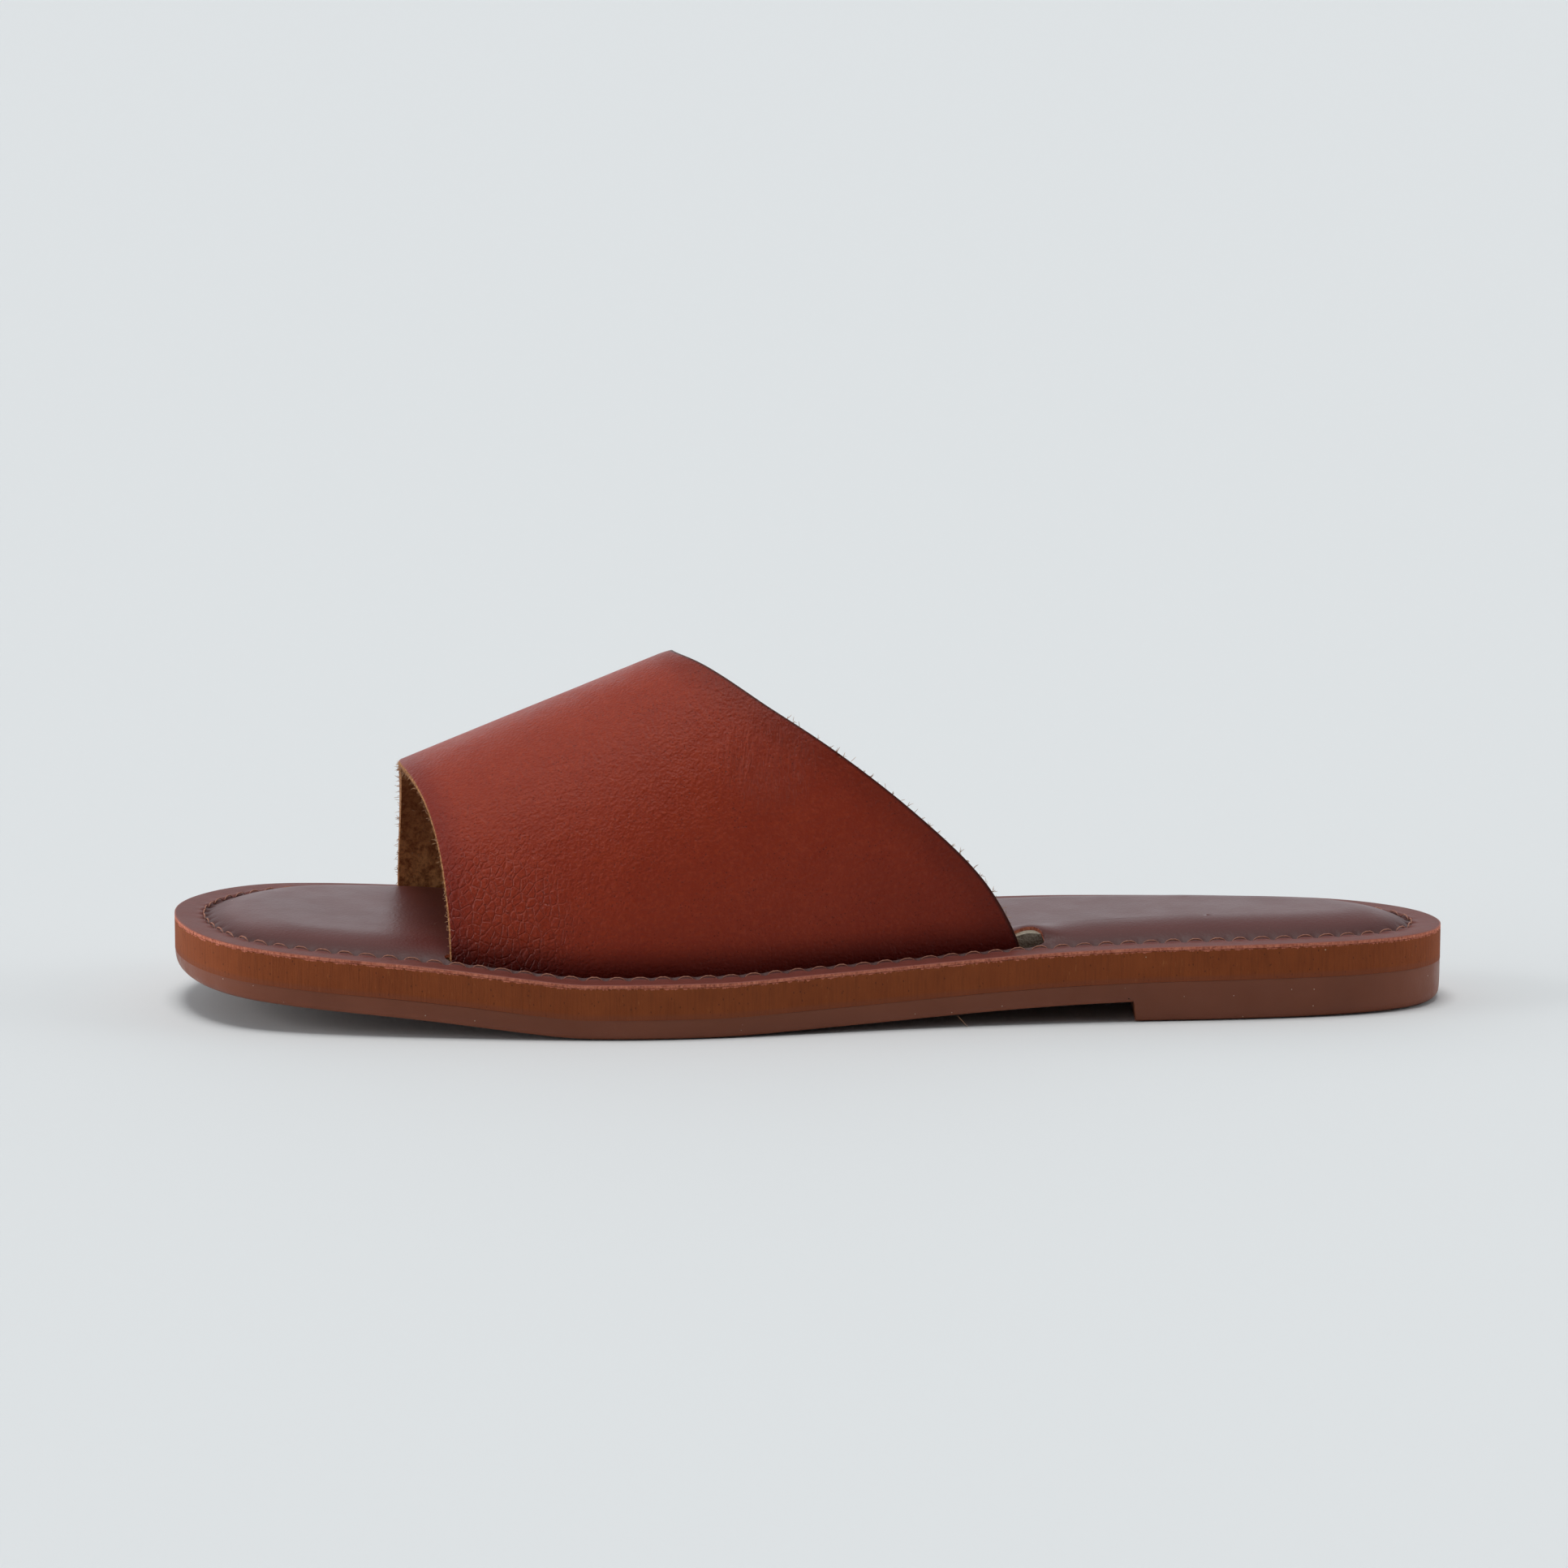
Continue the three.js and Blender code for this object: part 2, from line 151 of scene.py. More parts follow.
# Outsole: one moulding of brown rubber with a low heel, about 4 mm thick, smooth at its side.
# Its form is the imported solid's, with the facets rounded out, its moulded corners kept, and its
# bottom edge rounder at the toe and at the back of the heel. Fine tread covers its underside.
def copy_of_node(node, name):
    """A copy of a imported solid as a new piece, with its loose triangles joined to quads."""
    bpy.ops.object.select_all(action="DESELECT")
    copy = bpy.data.objects.new(name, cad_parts[node].data.copy())
    bpy.context.collection.objects.link(copy)
    bpy.context.view_layer.objects.active = copy
    copy.select_set(True)
    copy.data.materials.clear()
    bpy.ops.object.mode_set(mode="EDIT")
    bpy.ops.mesh.select_all(action="SELECT")
    bpy.ops.mesh.customdata_custom_splitnormals_clear()
    bpy.ops.mesh.remove_doubles(threshold=0.001 * mm)
    bpy.ops.mesh.tris_convert_to_quads(face_threshold=math.pi, shape_threshold=math.pi, topology_influence=2)
    bpy.ops.mesh.select_all(action="DESELECT")
    bpy.ops.object.mode_set(mode="OBJECT")
    return copy


def crease_sharp_edges(piece, sharpness, crease):
    """Creases a piece's sharp edges, so that subdivision keeps them."""
    bpy.ops.object.mode_set(mode="EDIT")
    bpy.ops.mesh.select_mode(type="EDGE")
    bpy.ops.mesh.edges_select_sharp(sharpness=sharpness)
    bpy.ops.transform.edge_crease(value=crease)
    bpy.ops.object.mode_set(mode="OBJECT")


def apply_modifier(piece, kind, **settings):
    """Adds a modifier with its settings and applies it."""
    bpy.context.view_layer.objects.active = piece
    modifier = piece.modifiers.new(kind.lower(), kind)
    for key, value in settings.items():
        setattr(modifier, key, value)
    bpy.ops.object.modifier_apply(modifier=modifier.name)


def finish_piece(piece, slot, *nodes):
    """Joins a piece to the shoe's one body, in place of the solids named; the slot is not used."""
    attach(piece, "root")
    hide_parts(*nodes)


def coordinates(piece):
    """A piece's points as an array with a row for each."""
    flat = np.empty(len(piece.data.vertices) * 3)
    piece.data.vertices.foreach_get("co", flat)
    return flat.reshape(-1, 3)


def on_piece(tree, stretch=(1, 1, 1)):
    """The place on the piece in its own coordinates, stretched along the axes."""
    place = add_node(tree, "TexCoord").outputs["Object"]
    return add_node(tree, "VectorMath", {0: place, 1: stretch}, operation="MULTIPLY").outputs["Vector"]


def clouds(tree, size, detail=2.0, roughness=0.5, stretch=(1, 1, 1)):
    """Cloudy noise from 0 to 1 with features of about a size."""
    inputs = {"Vector": on_piece(tree, stretch), "Scale": 1 / size, "Detail": detail, "Roughness": roughness}
    return add_node(tree, "TexNoise", inputs).outputs["Fac"]


def cells(tree, size, feature="F1", stretch=(1, 1, 1)):
    """Rounded cells of about a size, 0 at the middle of each one."""
    inputs = {"Vector": on_piece(tree, stretch), "Scale": 1 / size}
    return add_node(tree, "TexVoronoi", inputs, feature=feature).outputs["Distance"]


def specks(tree, size, spacing, share):
    """Small specks of a size, about a spacing apart, in a share of the places."""
    scattered = add_node(tree, "TexVoronoi", {"Vector": on_piece(tree), "Scale": 1 / spacing})
    near = combine(tree, "LESS_THAN", scattered.outputs["Distance"], size / spacing)
    draw = add_node(tree, "SeparateXYZ", {"Vector": scattered.outputs["Color"]}).outputs["X"]
    return combine(tree, "MULTIPLY", near, combine(tree, "LESS_THAN", draw, share))


def mixed(tree, share, first, second, blend="MIX"):
    """A colour between two others."""
    return add_node(tree, "Mix", {0: share, 6: first, 7: second}, data_type="RGBA", blend_type=blend).outputs[2]


def relief(tree, shader, *layers):
    """Raises a surface by layers of relief, each a pattern from 0 to 1 with its depth."""
    height = 0
    for pattern, depth in layers:
        inputs = {0: pattern, 1: depth, 2: height}
        height = add_node(tree, "Math", inputs, operation="MULTIPLY_ADD").outputs["Value"]
    bump = add_node(tree, "Bump", {"Strength": 1, "Distance": 1, "Height": height})
    tree.links.new(bump.outputs["Normal"], shader.inputs["Normal"])


outsole = copy_of_node("outsole", "outsole_rubber")
crease_sharp_edges(outsole, math.radians(40), 1)
round_toe_from = -100 * mm
round_heel_from = 105 * mm
rounder_crease = 0.65
corner_places = coordinates(outsole)
edge_ends = np.array([edge.vertices[:] for edge in outsole.data.edges])
edge_middles = corner_places[edge_ends].mean(axis=1)
creases = outsole.data.attributes["crease_edge"].data
at_ends = (edge_middles[:, 0] < round_toe_from) | (edge_middles[:, 0] > round_heel_from)
for number in np.flatnonzero(at_ends):
    low_corner = corner_places[edge_ends[number], 2] < corner_places[:, 2].max() - 3 * mm
    if low_corner.all() and creases[number].value > 0:
        creases[number].value = rounder_crease
apply_modifier(outsole, "SUBSURF", levels=2, render_levels=2)
bpy.ops.object.shade_smooth_by_angle(angle=math.radians(40))
rubber, tree, shader = new_finish("outsole_rubber")
shader.inputs["Specular IOR Level"].default_value = 0.22
shader.inputs["Subsurface Weight"].default_value = 0.12
shader.inputs["Subsurface Radius"].default_value = (2 * mm, 0.8 * mm, 0.4 * mm)
shader.inputs["Subsurface Scale"].default_value = 1
bloom = clouds(tree, 14 * mm, 3)
rubber_colour = mixed(tree, bloom, paint(116, 64, 44), paint(138, 80, 58))
dust = specks(tree, 0.11 * mm, 2 * mm, 0.5)
rubber_colour = mixed(tree, dust, rubber_colour, paint(196, 168, 150))
tree.links.new(rubber_colour, shader.inputs["Base Color"])
rubbed = ramp(tree, clouds(tree, 5 * mm, 4, 0.6), 0.3, 0.7, 0.34, 0.5)
tree.links.new(rubbed, shader.inputs["Roughness"])
relief(tree, shader, (clouds(tree, 0.5 * mm, 3), 0.03 * mm), (clouds(tree, 8 * mm), 0.3 * mm))
outsole.data.materials.append(rubber)

tread_pitch = 2.4 * mm
tread, tree, shader = new_finish("outsole_tread", Roughness=0.55)
lines = [add_node(tree, "TexWave", {
    "Vector": on_piece(tree, stretch), "Scale": math.pi / 10 / tread_pitch, "Distortion": 0,
}, wave_type="BANDS", bands_direction="DIAGONAL").outputs["Fac"] for stretch in ((1, 1, 0), (1, -1, 0))]
ribs = combine(tree, "MAXIMUM", *lines)
worn_rubber = mixed(tree, clouds(tree, 18 * mm, 3), paint(108, 66, 50), paint(126, 80, 62))
tree.links.new(worn_rubber, shader.inputs["Base Color"])
relief(tree, shader, (ramp(tree, ribs, 0.75, 0.95), 0.35 * mm), (clouds(tree, 0.6 * mm, 3), 0.04 * mm))
outsole.data.materials.append(tread)
for face in outsole.data.polygons:
    face.material_index = 1 if face.normal.z < -0.8 else 0
finish_piece(outsole, "outsole", "outsole")


# Midsole: a tan fibre board, cut to the outsole's outline and sanded on its side.
# It is laid up ring by ring on that outline, and both slots for the strap are cut into its top.
def outline_of_outsole():
    """The outline of the outsole's top, from the toe's tip round the outer side, in even steps."""
    ring = copy_of_node("outsole", "outline")
    for face in ring.data.polygons:
        face.select = face.normal.z > 0.7
    bpy.ops.object.mode_set(mode="EDIT")
    bpy.ops.mesh.select_mode(type="FACE")
    bpy.ops.mesh.region_to_loop()
    bpy.ops.mesh.select_all(action="INVERT")
    bpy.ops.mesh.delete(type="EDGE")
    bpy.ops.object.mode_set(mode="OBJECT")
    bpy.ops.object.convert(target="CURVE")
    bpy.ops.object.mode_set(mode="EDIT")
    bpy.ops.curve.select_all(action="SELECT")
    bpy.ops.curve.spline_type_set(type="BEZIER")
    bpy.ops.curve.handle_type_set(type="AUTOMATIC")
    bpy.ops.object.mode_set(mode="OBJECT")
    ring.data.resolution_u = 24
    bpy.ops.object.convert(target="MESH")
    points = np.array([vertex.co for vertex in ring.data.vertices])
    bpy.data.objects.remove(ring)
    points = np.roll(points, -int(points[:, 0].argmin()), axis=0)
    if points[len(points) // 4, 1] > 0:
        points = np.roll(points[::-1], 1, axis=0)
    loop = np.vstack([points, points[:1]])
    run = length_along(loop)
    steps = np.arange(ring_steps) / ring_steps * run[-1]
    return np.column_stack([np.interp(steps, run, loop[:, axis]) for axis in range(3)])


def length_along(points):
    """The length run from a line's first point to each of its points."""
    return np.concatenate([[0], np.cumsum(np.linalg.norm(np.diff(points, axis=0), axis=1))])


def smoothed(points, rounds):
    """A closed ring of points with its small kinks evened out."""
    for _ in range(rounds):
        points = (np.roll(points, 1, axis=0) + 2 * points + np.roll(points, -1, axis=0)) / 4
    return points


def inset_ring(inset):
    """The outline moved inwards by an inset, seen from above."""
    return outline[:, :2] + inwards * inset


def level_at(x):
    """Height of the outsole's top, which is level across the shoe."""
    return np.interp(x, outline[: ring_steps // 2, 0], outline[: ring_steps // 2, 2])


def move_points(piece, places):
    """Puts a piece's points at the places given."""
    piece.data.vertices.foreach_set("co", np.asarray(places, dtype=float).ravel())
    piece.data.update()


def store(piece, name, values):
    """Keeps a value for each point of a piece, for its material to read."""
    piece.data.attributes.new(name, "FLOAT", "POINT").data.foreach_set("value", np.asarray(values, dtype=float))


def read(tree, name):
    """A value that is kept on the piece's points."""
    return add_node(tree, "Attribute", attribute_name=name).outputs["Fac"]


def distances(points, targets):
    """How far each point lies from the nearest of the targets."""
    finder = KDTree(len(targets))
    for number, target in enumerate(targets):
        finder.insert(target, number)
    finder.balance()
    return np.array([finder.find(point)[2] for point in points])


def insets_of(piece):
    """How far inside the outline each of a piece's points lies, seen from above."""
    flat_outline = np.column_stack([outline[:, :2], np.zeros(ring_steps)])
    return distances(coordinates(piece) * (1, 1, 0), flat_outline)


def laid_up(name, rings, height_at, cap_span):
    """A closed layer of the sole: a circle is laid on the outline, extruded from ring to ring,
    and filled with a grid at both ends. A ring gives its inset and whether it is on the top side."""
    bpy.ops.object.select_all(action="DESELECT")
    bpy.ops.mesh.primitive_circle_add(vertices=ring_steps)
    layer = bpy.context.object
    layer.name = name
    step = layer.data.attributes.new("step", "INT", "POINT")
    step.data.foreach_set("value", np.arange(ring_steps))
    for number, (inset, on_top) in enumerate(rings):
        if number > 0:
            bpy.ops.object.mode_set(mode="EDIT")
            bpy.ops.mesh.extrude_edges_move()
            bpy.ops.object.mode_set(mode="OBJECT")
        picked = np.empty(len(layer.data.vertices), dtype=bool)
        layer.data.vertices.foreach_get("select", picked)
        steps = np.empty(len(picked), dtype=int)
        layer.data.attributes["step"].data.foreach_get("value", steps)
        places = coordinates(layer)
        flat = inset_ring(inset)[steps[picked]]
        places[picked, :2] = flat
        places[picked, 2] = height_at(flat[:, 0], np.full(len(flat), inset), steps[picked], on_top)
        move_points(layer, places)
    for on_top in (True, False):
        ringed = len(layer.data.vertices)
        bpy.ops.object.mode_set(mode="EDIT")
        if not on_top:
            bpy.ops.mesh.select_all(action="DESELECT")
            bpy.ops.object.mode_set(mode="OBJECT")
            first_ring = [index < ring_steps for index in range(ringed)]
            layer.data.vertices.foreach_set("select", first_ring)
            layer_edges = np.array([edge.vertices[:] for edge in layer.data.edges])
            layer.data.edges.foreach_set("select", (layer_edges < ring_steps).all(axis=1))
            bpy.ops.object.mode_set(mode="EDIT")
        bpy.ops.mesh.fill_grid(span=cap_span, offset=ring_steps // 4 - cap_span // 2)
        bpy.ops.object.mode_set(mode="OBJECT")
        places = coordinates(layer)
        inner_x = places[ringed:, 0]
        deep = np.full(len(inner_x), widest_inset)
        places[ringed:, 2] = height_at(inner_x, deep, np.zeros(len(inner_x), dtype=int), on_top)
        move_points(layer, places)
    bpy.ops.object.mode_set(mode="EDIT")
    bpy.ops.mesh.select_all(action="SELECT")
    bpy.ops.mesh.normals_make_consistent(inside=False)
    bpy.ops.mesh.select_all(action="DESELECT")
    bpy.ops.object.mode_set(mode="OBJECT")
    return layer


ring_steps = 1000
outline = smoothed(outline_of_outsole(), 8)
along = np.roll(outline, -2, axis=0)[:, :2] - np.roll(outline, 2, axis=0)[:, :2]
along /= np.linalg.norm(along, axis=1)[:, None]
inwards = np.column_stack([-along[:, 1], along[:, 0]])
widest_inset = 30 * mm

layer_gap = 0.3 * mm
midsole_thickness = 5.8 * mm
midsole_top = layer_gap + midsole_thickness
hairline = 0.02 * mm


def midsole_height(x, inset, step, on_top):
    """The board lies a hairline over the outsole and a hairline under the cover, its edges broken."""
    broken = 0.08 * mm * np.clip(1 - inset / (0.25 * mm), 0, 1)
    if on_top:
        return level_at(x) + (midsole_top + layer_gap - hairline - broken)
    return level_at(x) + (hairline + broken / 4)


midsole_insets = [insets * mm for insets in (3, 0.25, 0.08, 0)]
midsole_rings = [(inset, False) for inset in midsole_insets]
midsole_rings += [(inset, True) for inset in reversed(midsole_insets)]
midsole = laid_up("midsole_board", midsole_rings, midsole_height, 40)

strap_thickness = 2 * mm
slot_inset = 8.6 * mm
slot_half_width = strap_thickness / 2 + 0.35 * mm
slot_depth = 3 * mm
slot_gape = 1.4 * mm
strap_ends = {"outer": (-70.5 * mm, 42.2 * mm), "inner": (-85.3 * mm, 19.5 * mm)}
slot_front_run = 1.2 * mm
slot_rear_run = 4.6 * mm


def side_line(side, inset, x):
    """How far across the shoe a line runs that keeps an inset from the outline, on one side."""
    ring = inset_ring(inset)
    half = ring[: ring_steps // 2] if side == "outer" else ring[: ring_steps // 2 : -1]
    return np.interp(x, half[:, 0], half[:, 1])


def cut_slots(layer, roof):
    """Cuts both slots down into a layer; each is a round-ended block that gapes behind the strap."""
    for side, (front, rear) in strap_ends.items():
        bpy.ops.object.select_all(action="DESELECT")
        bpy.ops.mesh.primitive_cylinder_add(vertices=120, radius=1, depth=2)
        block = bpy.context.object
        places = coordinates(block)
        run = (1 + places[:, 0]) / 2
        x = front - slot_front_run + run * (rear - front + slot_front_run + slot_rear_run)
        across = np.clip(4 * places[:, 1], -1, 1)
        gape = slot_gape * np.clip((x - rear + 5 * mm) / (5 * mm), 0, 1) * np.clip(across, 0, 1)
        near, far = (side_line(side, slot_inset + way * slot_half_width, x) for way in (-1, 1))
        inner_way = 1 if side == "outer" else -1
        floor_height = level_at(x) + midsole_top - slot_depth
        y = near + (far - near) * (1 + across) / 2 + inner_way * gape
        z = np.where(places[:, 2] < 0, floor_height, level_at(x) + roof)
        move_points(block, np.column_stack([x, y, z]))
        bpy.ops.object.mode_set(mode="EDIT")
        bpy.ops.mesh.select_all(action="SELECT")
        bpy.ops.mesh.normals_make_consistent(inside=False)
        bpy.ops.object.mode_set(mode="OBJECT")
        apply_modifier(layer, "BOOLEAN", object=block, operation="DIFFERENCE", solver="EXACT")
        bpy.data.objects.remove(block)
    layer.select_set(True)


cut_slots(midsole, 10 * mm)
bpy.ops.object.shade_smooth_by_angle(angle=math.radians(40))
board_places = coordinates(midsole)
store(midsole, "below_top", level_at(board_places[:, 0]) + midsole_top + layer_gap - board_places[:, 2])
board, tree, shader = new_finish("midsole_board", Roughness=0.82)
shader.inputs["Specular IOR Level"].default_value = 0.25
fine_grain = (1, 1, 0.06)
file_marks = clouds(tree, 0.45 * mm, 3, 0.65, fine_grain)
patches = clouds(tree, 7 * mm, 4, 0.6)
board_colour = mixed(tree, patches, paint(128, 60, 25), paint(154, 79, 38))
board_colour = mixed(tree, ramp(tree, file_marks, 0.42, 0.72, 0, 0.28), board_colour, paint(92, 44, 20))
pale_fibres = ramp(tree, clouds(tree, 0.7 * mm, 4, 0.7, (1, 1, 0.2)), 0.62, 0.74, 0, 0.45)
board_colour = mixed(tree, pale_fibres, board_colour, paint(190, 120, 68))
dark_pits = combine(tree, "LESS_THAN", cells(tree, 1.1 * mm, "F1", (1, 1, 0.6)), 0.12)
board_colour = mixed(tree, combine(tree, "MULTIPLY", dark_pits, 0.55), board_colour, paint(62, 30, 16))
ragged = ramp(tree, clouds(tree, 0.8 * mm, 3, 0.7, (1, 1, 0.5)), 0.35, 0.75)
ragged = combine(tree, "MULTIPLY", ragged, 0.5 * mm)
rosy = ramp(tree, combine(tree, "SUBTRACT", read(tree, "below_top"), ragged), 0, 0.08 * mm, 1, 0)
board_colour = mixed(tree, rosy, board_colour, paint(204, 118, 92))
pressed = ramp(tree, read(tree, "below_top"), midsole_thickness - 0.9 * mm, midsole_thickness, 0, 0.5)
board_colour = mixed(tree, pressed, board_colour, paint(128, 70, 48))
board_colour = mixed(tree, specks(tree, 0.14 * mm, 3 * mm, 0.4), board_colour, paint(214, 190, 160))
tree.links.new(board_colour, shader.inputs["Base Color"])
relief(tree, shader, (file_marks, 0.12 * mm), (clouds(tree, 0.35 * mm, 3), 0.05 * mm), (rosy, 0.12 * mm))
midsole.data.materials.clear()
midsole.data.materials.append(board)
finish_piece(midsole, "midsole", "midsole")


# Footbed pad: a thin sheet of grey-beige foam under the cover, inside the slots.
# Its edge shows where the slot gapes behind the strap.
cover_underside = midsole_top + layer_gap
cover_thickness = 0.7 * mm
swell_start = 6.7 * mm
swell_run = 11.3 * mm
swell_height = 3 * mm
swell_places = [share * 256 * mm - 128 * mm for share in (0, 0.10, 0.30, 0.62, 0.80, 0.93, 1)]
swell_shares = [0.72, 0.85, 1.00, 0.80, 1.00, 0.95, 0.85]
lip_rise = 1.8 * mm


def smooth_step(value, low, high):
    """Rises softly from 0 at the low value to 1 at the high one."""
    share = np.clip((value - low) / (high - low), 0, 1)
    return share * share * (3 - 2 * share)


def footbed_swell(x, inset, step):
    """How far the footbed's padded middle rises over its flat rim: round at its foot, flat on top.
    Behind the outer end of the strap the lip of the slot stands up a little more."""
    share = np.clip((inset - swell_start) / swell_run, 0, 1)
    swell = swell_height * np.interp(x, swell_places, swell_shares) * np.sin(share * math.pi / 2) ** 0.9
    behind = np.exp(-(((x - strap_ends["outer"][1] - 1.5 * mm) / (5 * mm)) ** 2))
    lip = smooth_step(inset, slot_inset, slot_inset + 1.6 * mm) - smooth_step(inset, 11.5 * mm, 18 * mm)
    return swell + lip_rise * behind * lip * (step < ring_steps // 2)


def pad_height(x, inset, step, on_top):
    """The foam lies on the board and fills the space under the cover."""
    under_cover = cover_underside - hairline + footbed_swell(x, inset, step)
    return level_at(x) + (under_cover if on_top else cover_underside)


pad_edge = slot_inset + slot_half_width + 0.1 * mm
pad_insets = [pad_edge + extra * mm for extra in (0, 0.15, 0.6, 1.1, 1.7, 2.4, 3.2, 4.2, 5.6, 7.9)]
pad_rings = [(inset, False) for inset in reversed(pad_insets[::3])]
pad_rings += [(inset, True) for inset in pad_insets]
pad = laid_up("footbed_foam", pad_rings, pad_height, 40)
bpy.ops.object.shade_smooth_by_angle(angle=math.radians(40))
foam, tree, shader = new_finish("footbed_foam", Roughness=0.95)
bubbles = cells(tree, 0.45 * mm)
foam_colour = mixed(tree, clouds(tree, 1.5 * mm, 3), paint(144, 133, 117), paint(182, 172, 154))
foam_colour = mixed(tree, ramp(tree, bubbles, 0.05, 0.35, 0.4, 0), foam_colour, paint(120, 106, 90))
tree.links.new(foam_colour, shader.inputs["Base Color"])
relief(tree, shader, (bubbles, 0.12 * mm), (clouds(tree, 1.2 * mm, 3), 0.2 * mm))
pad.data.materials.append(foam)
finish_piece(pad, "footbed_pad", "footbed_pad")


# Footbed cover: one sheet of dark brown leather over the whole sole, stitched down along its rim.
# Its middle swells over the foam, its rim is flat, and its cut edge shows rosy over the board.
stitch_inset = 6.1 * mm
stitch_pitch = 4.5 * mm
stitch_ring = inset_ring(stitch_inset)
stitch_run = length_along(np.vstack([stitch_ring, stitch_ring[:1]]))
stitch_count = round(stitch_run[-1] / stitch_pitch)
stitch_phase = stitch_run[:-1] / stitch_run[-1] * stitch_count * 2 * math.pi
hole_depth = 0.55 * mm
channel_depth = 0.12 * mm
rim_bulge = 0.3 * mm
pucker = 0.22 * mm


def hump(value, middle, width):
    """A soft bump of height 1 round a middle value."""
    return np.exp(-(((value - middle) / width) ** 2))


def cover_height(x, inset, step, on_top):
    """The cover follows the foam and lies on the board round it. Thread draws it down along the
    stitch line, most at the holes, and between holes the rim's leather bulges up under the thread."""
    height = level_at(x) + cover_underside + footbed_swell(x, inset, step)
    if not on_top:
        return height
    worn = 0.12 * mm * np.clip(1 - inset / (0.3 * mm), 0, 1) ** 2
    drawn_down = 0.22 * mm * hump(inset, stitch_inset, 2.2 * mm)
    at_hole = ((1 + np.cos(stitch_phase[step])) / 2) ** 3
    channel = (channel_depth + hole_depth * at_hole) * hump(inset, stitch_inset, 0.5 * mm)
    bulge = rim_bulge * (1 - at_hole) * hump(inset, stitch_inset - 0.7 * mm, 0.7 * mm)
    foot = pucker * at_hole * hump(inset, stitch_inset + 0.9 * mm, 0.7 * mm)
    return height + cover_thickness - worn - drawn_down - channel + bulge - foot


under_insets = [inset * mm for inset in (18, 15, 13, 11.5, 10.3, 9.2, 8.2, 7.4, 6.6, 3, 0)]
top_insets = [inset * mm for inset in (
    0, 0.08, 0.22, 0.45, 0.9, 2, 3.3, 4.3, 4.75, 5.05, 5.3, 5.5, 5.7, 5.9, 6.1, 6.3, 6.5, 6.75, 7.05, 7.4,
    7.9, 8.5, 9.2, 10, 11, 12.1, 13.3, 14.7, 16.3, 18)]
cover_rings = [(inset, False) for inset in under_insets] + [(inset, True) for inset in top_insets]
cover = laid_up("footbed_cover", cover_rings, cover_height, 40)
cut_slots(cover, 15 * mm)
bpy.ops.object.shade_smooth_by_angle(angle=math.radians(50))

cover_inset = insets_of(cover)
store(cover, "inset", cover_inset)
cover_places = coordinates(cover)
stitch_numbers = stitch_phase / (2 * math.pi)
hole_steps = np.interp(np.arange(stitch_count), stitch_numbers, np.arange(ring_steps))
hole_spots = stitch_ring[np.rint(hole_steps).astype(int)]
flat_holes = np.column_stack([hole_spots, np.zeros(stitch_count)])
store(cover, "from_hole", distances(cover_places * (1, 1, 0), flat_holes))

cover_leather, tree, shader = new_finish("cover_leather")
shader.inputs["Specular IOR Level"].default_value = 0.4
inset = read(tree, "inset")
cover_colour_with_shade = mixed(tree, clouds(tree, 22 * mm, 3), paint(86, 36, 31), paint(100, 46, 40))
rim_share = ramp(tree, inset, stitch_inset + 0.4 * mm, stitch_inset - 0.6 * mm)
rim_colour = mixed(tree, clouds(tree, 3 * mm, 4, 0.6), paint(96, 42, 33), paint(118, 56, 45))
cover_colour_with_shade = mixed(tree, rim_share, cover_colour_with_shade, rim_colour)
# Painted shade: the foot of the padded swell, just inside the stitches, is darkened to stand in for the shade on
# that slope.
painted_slope_shade = ramp(tree, inset, stitch_inset + 0.4 * mm, stitch_inset + 6 * mm, 0.6, 0)
painted_slope_shade = combine(tree, "MULTIPLY", painted_slope_shade, combine(tree, "SUBTRACT", 1, rim_share))
cover_colour_with_shade = mixed(tree, painted_slope_shade, cover_colour_with_shade, paint(62, 19, 15))
hole_shade = ramp(tree, read(tree, "from_hole"), 0.35 * mm, 0.8 * mm, 0.9, 0)
cover_colour_with_shade = mixed(tree, hole_shade, cover_colour_with_shade, paint(30, 12, 10))
scuffed = ramp(tree, clouds(tree, 1.1 * mm, 4, 0.7), 0.6, 0.78, 0, 0.22)
cover_colour_with_shade = mixed(tree, scuffed, cover_colour_with_shade, paint(142, 96, 84))
edge_reach = combine(tree, "MULTIPLY", clouds(tree, 0.8 * mm, 3, 0.7), 0.5 * mm)
edge_wear = ramp(tree, combine(tree, "SUBTRACT", inset, edge_reach), -0.1 * mm, 0.08 * mm, 0.6, 0)
cover_colour_with_shade = mixed(tree, edge_wear, cover_colour_with_shade, paint(160, 88, 68))
cover_colour_with_shade = mixed(tree, specks(tree, 0.12 * mm, 7 * mm, 0.35), cover_colour_with_shade, paint(200, 170, 150))
tree.links.new(cover_colour_with_shade, shader.inputs["Base Color"])
polish = ramp(tree, clouds(tree, 9 * mm, 4, 0.6), 0.3, 0.7, 0.38, 0.43)
dull_rim = ramp(tree, inset, stitch_inset + 7 * mm, stitch_inset, 0, 0.15)
tree.links.new(combine(tree, "ADD", polish, dull_rim), shader.inputs["Roughness"])
relief(
    tree, shader, (cells(tree, 0.7 * mm), 0.03 * mm), (clouds(tree, 0.4 * mm, 4, 0.6), 0.03 * mm),
    (clouds(tree, 9 * mm, 3), 0.03 * mm))

